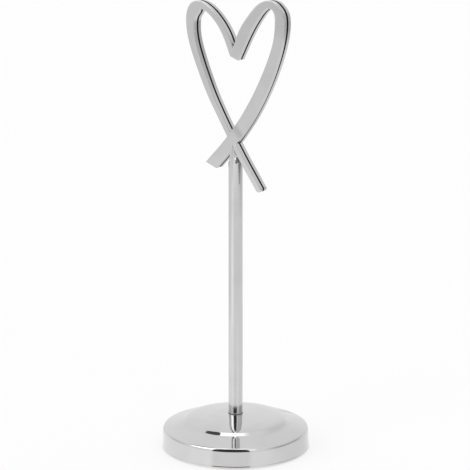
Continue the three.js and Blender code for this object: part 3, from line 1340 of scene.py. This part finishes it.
@dataclass
class Studio:
    """White light tent, pale floor and camera.

    Attributes:
        bearing: Camera's direction from the object, in degrees from -Y towards +X.
        distance: Camera's distance from the axis, level with the floor.
        height: Camera's height.
        aim: Point that the camera looks at.
        lens: Focal length in millimetres.
        sensor: Sensor width in millimetres.
        near_limit: Distance from which the camera sees.
        tent_level: Brightness of the plain tent.
        wall_patches: Patches of the tent's walls, in degrees from the camera and above the horizon.
        ceiling_patches: Patches overhead, sideways and forwards for a height of 1.
        lowest_rise: Least upward part of a direction that is measured on the ceiling.
        camera_patch: Dark patch of the camera and what stands beside it, in the walls' degrees.
        floor_level: Grey of the floor.
        floor_clouds: How much darker its soft clouds are.
        cloud_grain: Those clouds per millimetre.
        floor_roughness: Roughness of the floor.
        floor_shadow: Share of the shadow that the camera sees on the floor.
        floor_reach: Half width of the floor.
        floor_cells: Cells along a side of the floor.
        floor_drop: How far the floor lies below the part.
        floor_focus: How far before the axis the floor's patches are measured from, in millimetres.
        floor_glow: Brightness of the floor in polished metal.
        painted_floor_patches: Painted light and shade in the floor's glow, in degrees from the
            camera and millimetres.
    """

    bearing: float = 35.0
    distance: float = 844.0 * MM
    height: float = 291.7 * MM
    aim: Vector = field(default_factory=lambda: Vector((-0.22, -0.15, 97.5)) * MM)
    lens: float = 150.43
    sensor: float = 36.0
    near_limit: float = 10.0 * MM
    tent_level: float = 1.05
    wall_patches: tuple[Patch, ...] = (
        Patch(135.0, 400.0, -90.0, 8.0, 1.0, 60.0, 24.0),  # foot of the rear wall, on the right
        Patch(-400.0, -135.0, -90.0, 8.0, 1.0, 60.0, 24.0),  # the same on the left
        Patch(108.0, 158.0, 14.0, 56.0, 0.9, 40.0, 24.0),  # upper wall on the right
        Patch(58.0, 120.0, -30.0, 21.0, 0.62, 34.0, 10.0),  # grey screen on the right
        Patch(-125.0, -88.0, 0.0, 28.0, 0.84, 24.0, 16.0),  # pale grey screen on the left
        Patch(-77.0, -38.0, 19.0, 62.0, 2.7, 6.0, 4.0),  # window on the left of the camera
        Patch(21.0, 33.0, 14.0, 40.0, 1.5, 6.0, 6.0),  # slit of light on its right
    )
    ceiling_patches: tuple[Patch, ...] = (
        Patch(-0.66, -0.29, -0.28, 0.1, 0.1, 0.05, 0.08),  # dark card overhead
        Patch(-1.4, -0.29, 0.08, 0.34, 0.1, 0.1, 0.06),  # its arm to the left
        Patch(-0.15, 0.17, -0.13, 1.4, 2.2, 0.3, 0.08),  # lamp overhead
        Patch(-0.3, -0.02, -0.13, 1.4, 2.2, 0.03, 0.08),  # the lamp's crisp left side
    )
    lowest_rise: float = 0.05
    camera_patch: Patch = Patch(-36.0, 22.0, 0.0, 62.0, 0.06, 6.0, 3.0, PatchShape.ARCH)
    floor_level: float = 0.88
    floor_clouds: float = 0.01
    cloud_grain: float = 0.004
    floor_roughness: float = 0.9
    floor_shadow: float = 0.25
    floor_reach: float = 6.0
    floor_cells: int = 24
    floor_drop: float = 0.02 * MM
    floor_focus: float = 16.0
    floor_glow: float = 0.98
    # Painted light and shade on the floor's glow, which only polished metal sees.
    painted_floor_patches: tuple[Patch, ...] = (
        Patch(-400.0, 400.0, -100.0, 180.0, 1.13, 1.0, 240.0),  # bright ground round the base
        Patch(-36.0, 22.0, -100.0, 150.0, 1.01, 10.0, 100.0),  # shade of the camera side
        Patch(60.0, 130.0, -100.0, 300.0, 1.0, 40.0, 200.0),  # shade of the grey screen
        Patch(135.0, 400.0, -100.0, 400.0, 0.93, 30.0, 200.0),  # ground behind, on the right
        Patch(-400.0, -135.0, -100.0, 400.0, 0.93, 30.0, 200.0),  # the same on the left
        Patch(66.0, 116.0, 560.0, 2500.0, 0.7, 40.0, 200.0),  # far ground before the grey screen
        Patch(62.0, 124.0, 700.0, 6000.0, 0.62, 36.0, 500.0),  # ground at the screen's foot
        Patch(-70.0, -36.0, 16.0, 700.0, 1.2, 14.0, 20.0),  # light from the window
        Patch(-70.5, -20.0, 1200.0, 6000.0, 0.8, 12.0, 800.0),  # far ground under the window
        Patch(-40.0, 14.0, 600.0, 6000.0, 1.15, 14.0, 80.0),  # far ground on the camera's side
        Patch(138.0, 172.0, 120.0, 260.0, 0.8, 20.0, 60.0),  # shaded spot behind, on the right
        Patch(-125.0, -45.0, 115.0, 220.0, 1.18, 20.0, 60.0),  # bright arc on the left
        Patch(-76.0, -38.0, 190.0, 420.0, 1.3, 14.0, 80.0),  # brightest ground below the window
    )

    def build(self) -> None:
        """Makes the camera, the floor and the tent."""
        self.set_camera()
        self.lay_floor()
        self.raise_tent()

    def set_camera(self) -> None:
        """Puts the camera where the picture was taken from."""
        turn = math.radians(self.bearing)
        data = bpy.data.cameras.new("camera")
        data.lens = self.lens
        data.sensor_width = self.sensor
        data.clip_start = self.near_limit
        camera = bpy.data.objects.new("camera", data)
        x, y = math.sin(turn) * self.distance, -math.cos(turn) * self.distance
        spot = Vector((x, y, self.height))
        camera.location = spot
        camera.rotation_euler = (self.aim - spot).to_track_quat("-Z", "Y").to_euler()
        bpy.context.scene.collection.objects.link(camera)
        bpy.context.scene.camera = camera

    def compass(self, graph: NodeGraph, ray: bpy.types.NodeSocket) -> tuple[Field, Field]:
        """Parts of a direction or place as the camera's side sees it.

        Args:
            graph: The graph that new nodes go into.
            ray: The direction or place.

        Returns:
            The part towards the camera and the part to its right.
        """
        turn = math.radians(self.bearing)
        settings = {"operation": "DOT_PRODUCT"}
        axes = ((math.sin(turn), -math.cos(turn), 0.0), (math.cos(turn), math.sin(turn), 0.0))
        forward, sideways = (
            graph.field("ShaderNodeVectorMath", settings, {0: ray, 1: axis}, "Value")
            for axis in axes
        )
        return forward, sideways

    def lay_floor(self) -> None:
        """Lays the pale floor just under the felt.

        The camera sees it white with a share of the object's shadow. Polished metal sees it glow,
        with painted light and shade in patches.
        """
        mesh = bmesh.new()
        cells = self.floor_cells
        bmesh.ops.create_grid(mesh, x_segments=cells, y_segments=cells, size=self.floor_reach)
        floor = to_object("floor", mesh)
        floor.location.z = cad_box[0].z - self.floor_drop
        made = bpy.data.materials.new("pale_floor")
        made.use_nodes = True
        graph = NodeGraph(made.node_tree)
        clouds = graph.texture(Texture.CLOUDS, even(self.cloud_grain), 2.0)
        colours = grey(self.floor_level), grey(self.floor_level - self.floor_clouds)
        inputs = {
            "Base Color": graph.blend(clouds, *colours),
            "Roughness": self.floor_roughness,
            "Specular IOR Level": 0.0,
        }
        plain = graph.node("ShaderNodeBsdfPrincipled", None, inputs)
        forward, sideways = self.compass(graph, graph.place(even(1.0)))
        forward = forward - self.floor_focus
        azimuth = graph.math("ARCTAN2", sideways, forward) * math.degrees(1.0)
        distance = graph.math("SQRT", forward * forward + sideways * sideways)
        # Painted light and shade: the floor's glow, made lighter and darker patch by patch.
        level = self.floor_glow
        for patch in self.painted_floor_patches:
            level = patch.over(level, azimuth, distance)
        path = graph.node("ShaderNodeLightPath")
        seen = Field(graph, path.outputs["Is Camera Ray"])
        mirrored = Field(graph, path.outputs["Is Glossy Ray"])
        inputs = {
            "Base Color": grey(0.0),
            "Specular IOR Level": 0.0,
            "Emission Strength": 1.0,
            "Emission Color": level + (1.0 - level) * seen,
        }
        glow = graph.node("ShaderNodeBsdfPrincipled", None, inputs)
        factor = seen * (1 - self.floor_shadow) + mirrored
        inputs = {0: factor, 1: plain.outputs[0], 2: glow.outputs[0]}
        both = graph.node("ShaderNodeMixShader", None, inputs)
        graph.node("ShaderNodeOutputMaterial", None, {"Surface": both.outputs[0]})
        floor.data.materials.append(made)

    def raise_tent(self) -> None:
        """Makes the white tent with its patches as the world."""
        world = bpy.data.worlds.new("light_tent")
        world.use_nodes = True
        bpy.context.scene.world = world
        graph = NodeGraph(world.node_tree)
        ray = graph.node("ShaderNodeTexCoord").outputs["Generated"]
        forward, sideways = self.compass(graph, ray)
        up = graph.field("ShaderNodeSeparateXYZ", None, {0: ray}, "Z")
        azimuth = graph.math("ARCTAN2", sideways, forward) * math.degrees(1.0)
        elevation = graph.math("ARCSINE", up) * math.degrees(1.0)
        level = self.tent_level
        for patch in self.wall_patches:
            level = patch.over(level, azimuth, elevation)
        rise = graph.math("MAXIMUM", up, self.lowest_rise)
        for patch in self.ceiling_patches:
            level = patch.over(level, sideways / rise, forward / rise)
        level = self.camera_patch.over(level, azimuth, elevation)
        seen = graph.field("ShaderNodeLightPath", None, None, "Is Camera Ray")
        inputs = {"Color": level + (1.0 - level) * seen, "Strength": 1.0}
        backdrop = graph.node("ShaderNodeBackground", None, inputs)
        graph.node("ShaderNodeOutputWorld", None, {"Surface": backdrop.outputs[0]})


def main() -> None:
    """Builds and dresses every sub-assembly, then the studio."""
    logging.basicConfig(level=logging.INFO, format="%(name)s: %(message)s")
    for part in (Base(), Stem(), HeartPair()):
        part.build()
        part.dress()
        LOG.info("%s is dressed", type(part).__name__)
    Studio().build()
    bpy.context.scene.view_settings.view_transform = "Standard"


if __name__ == "__main__":
    main()
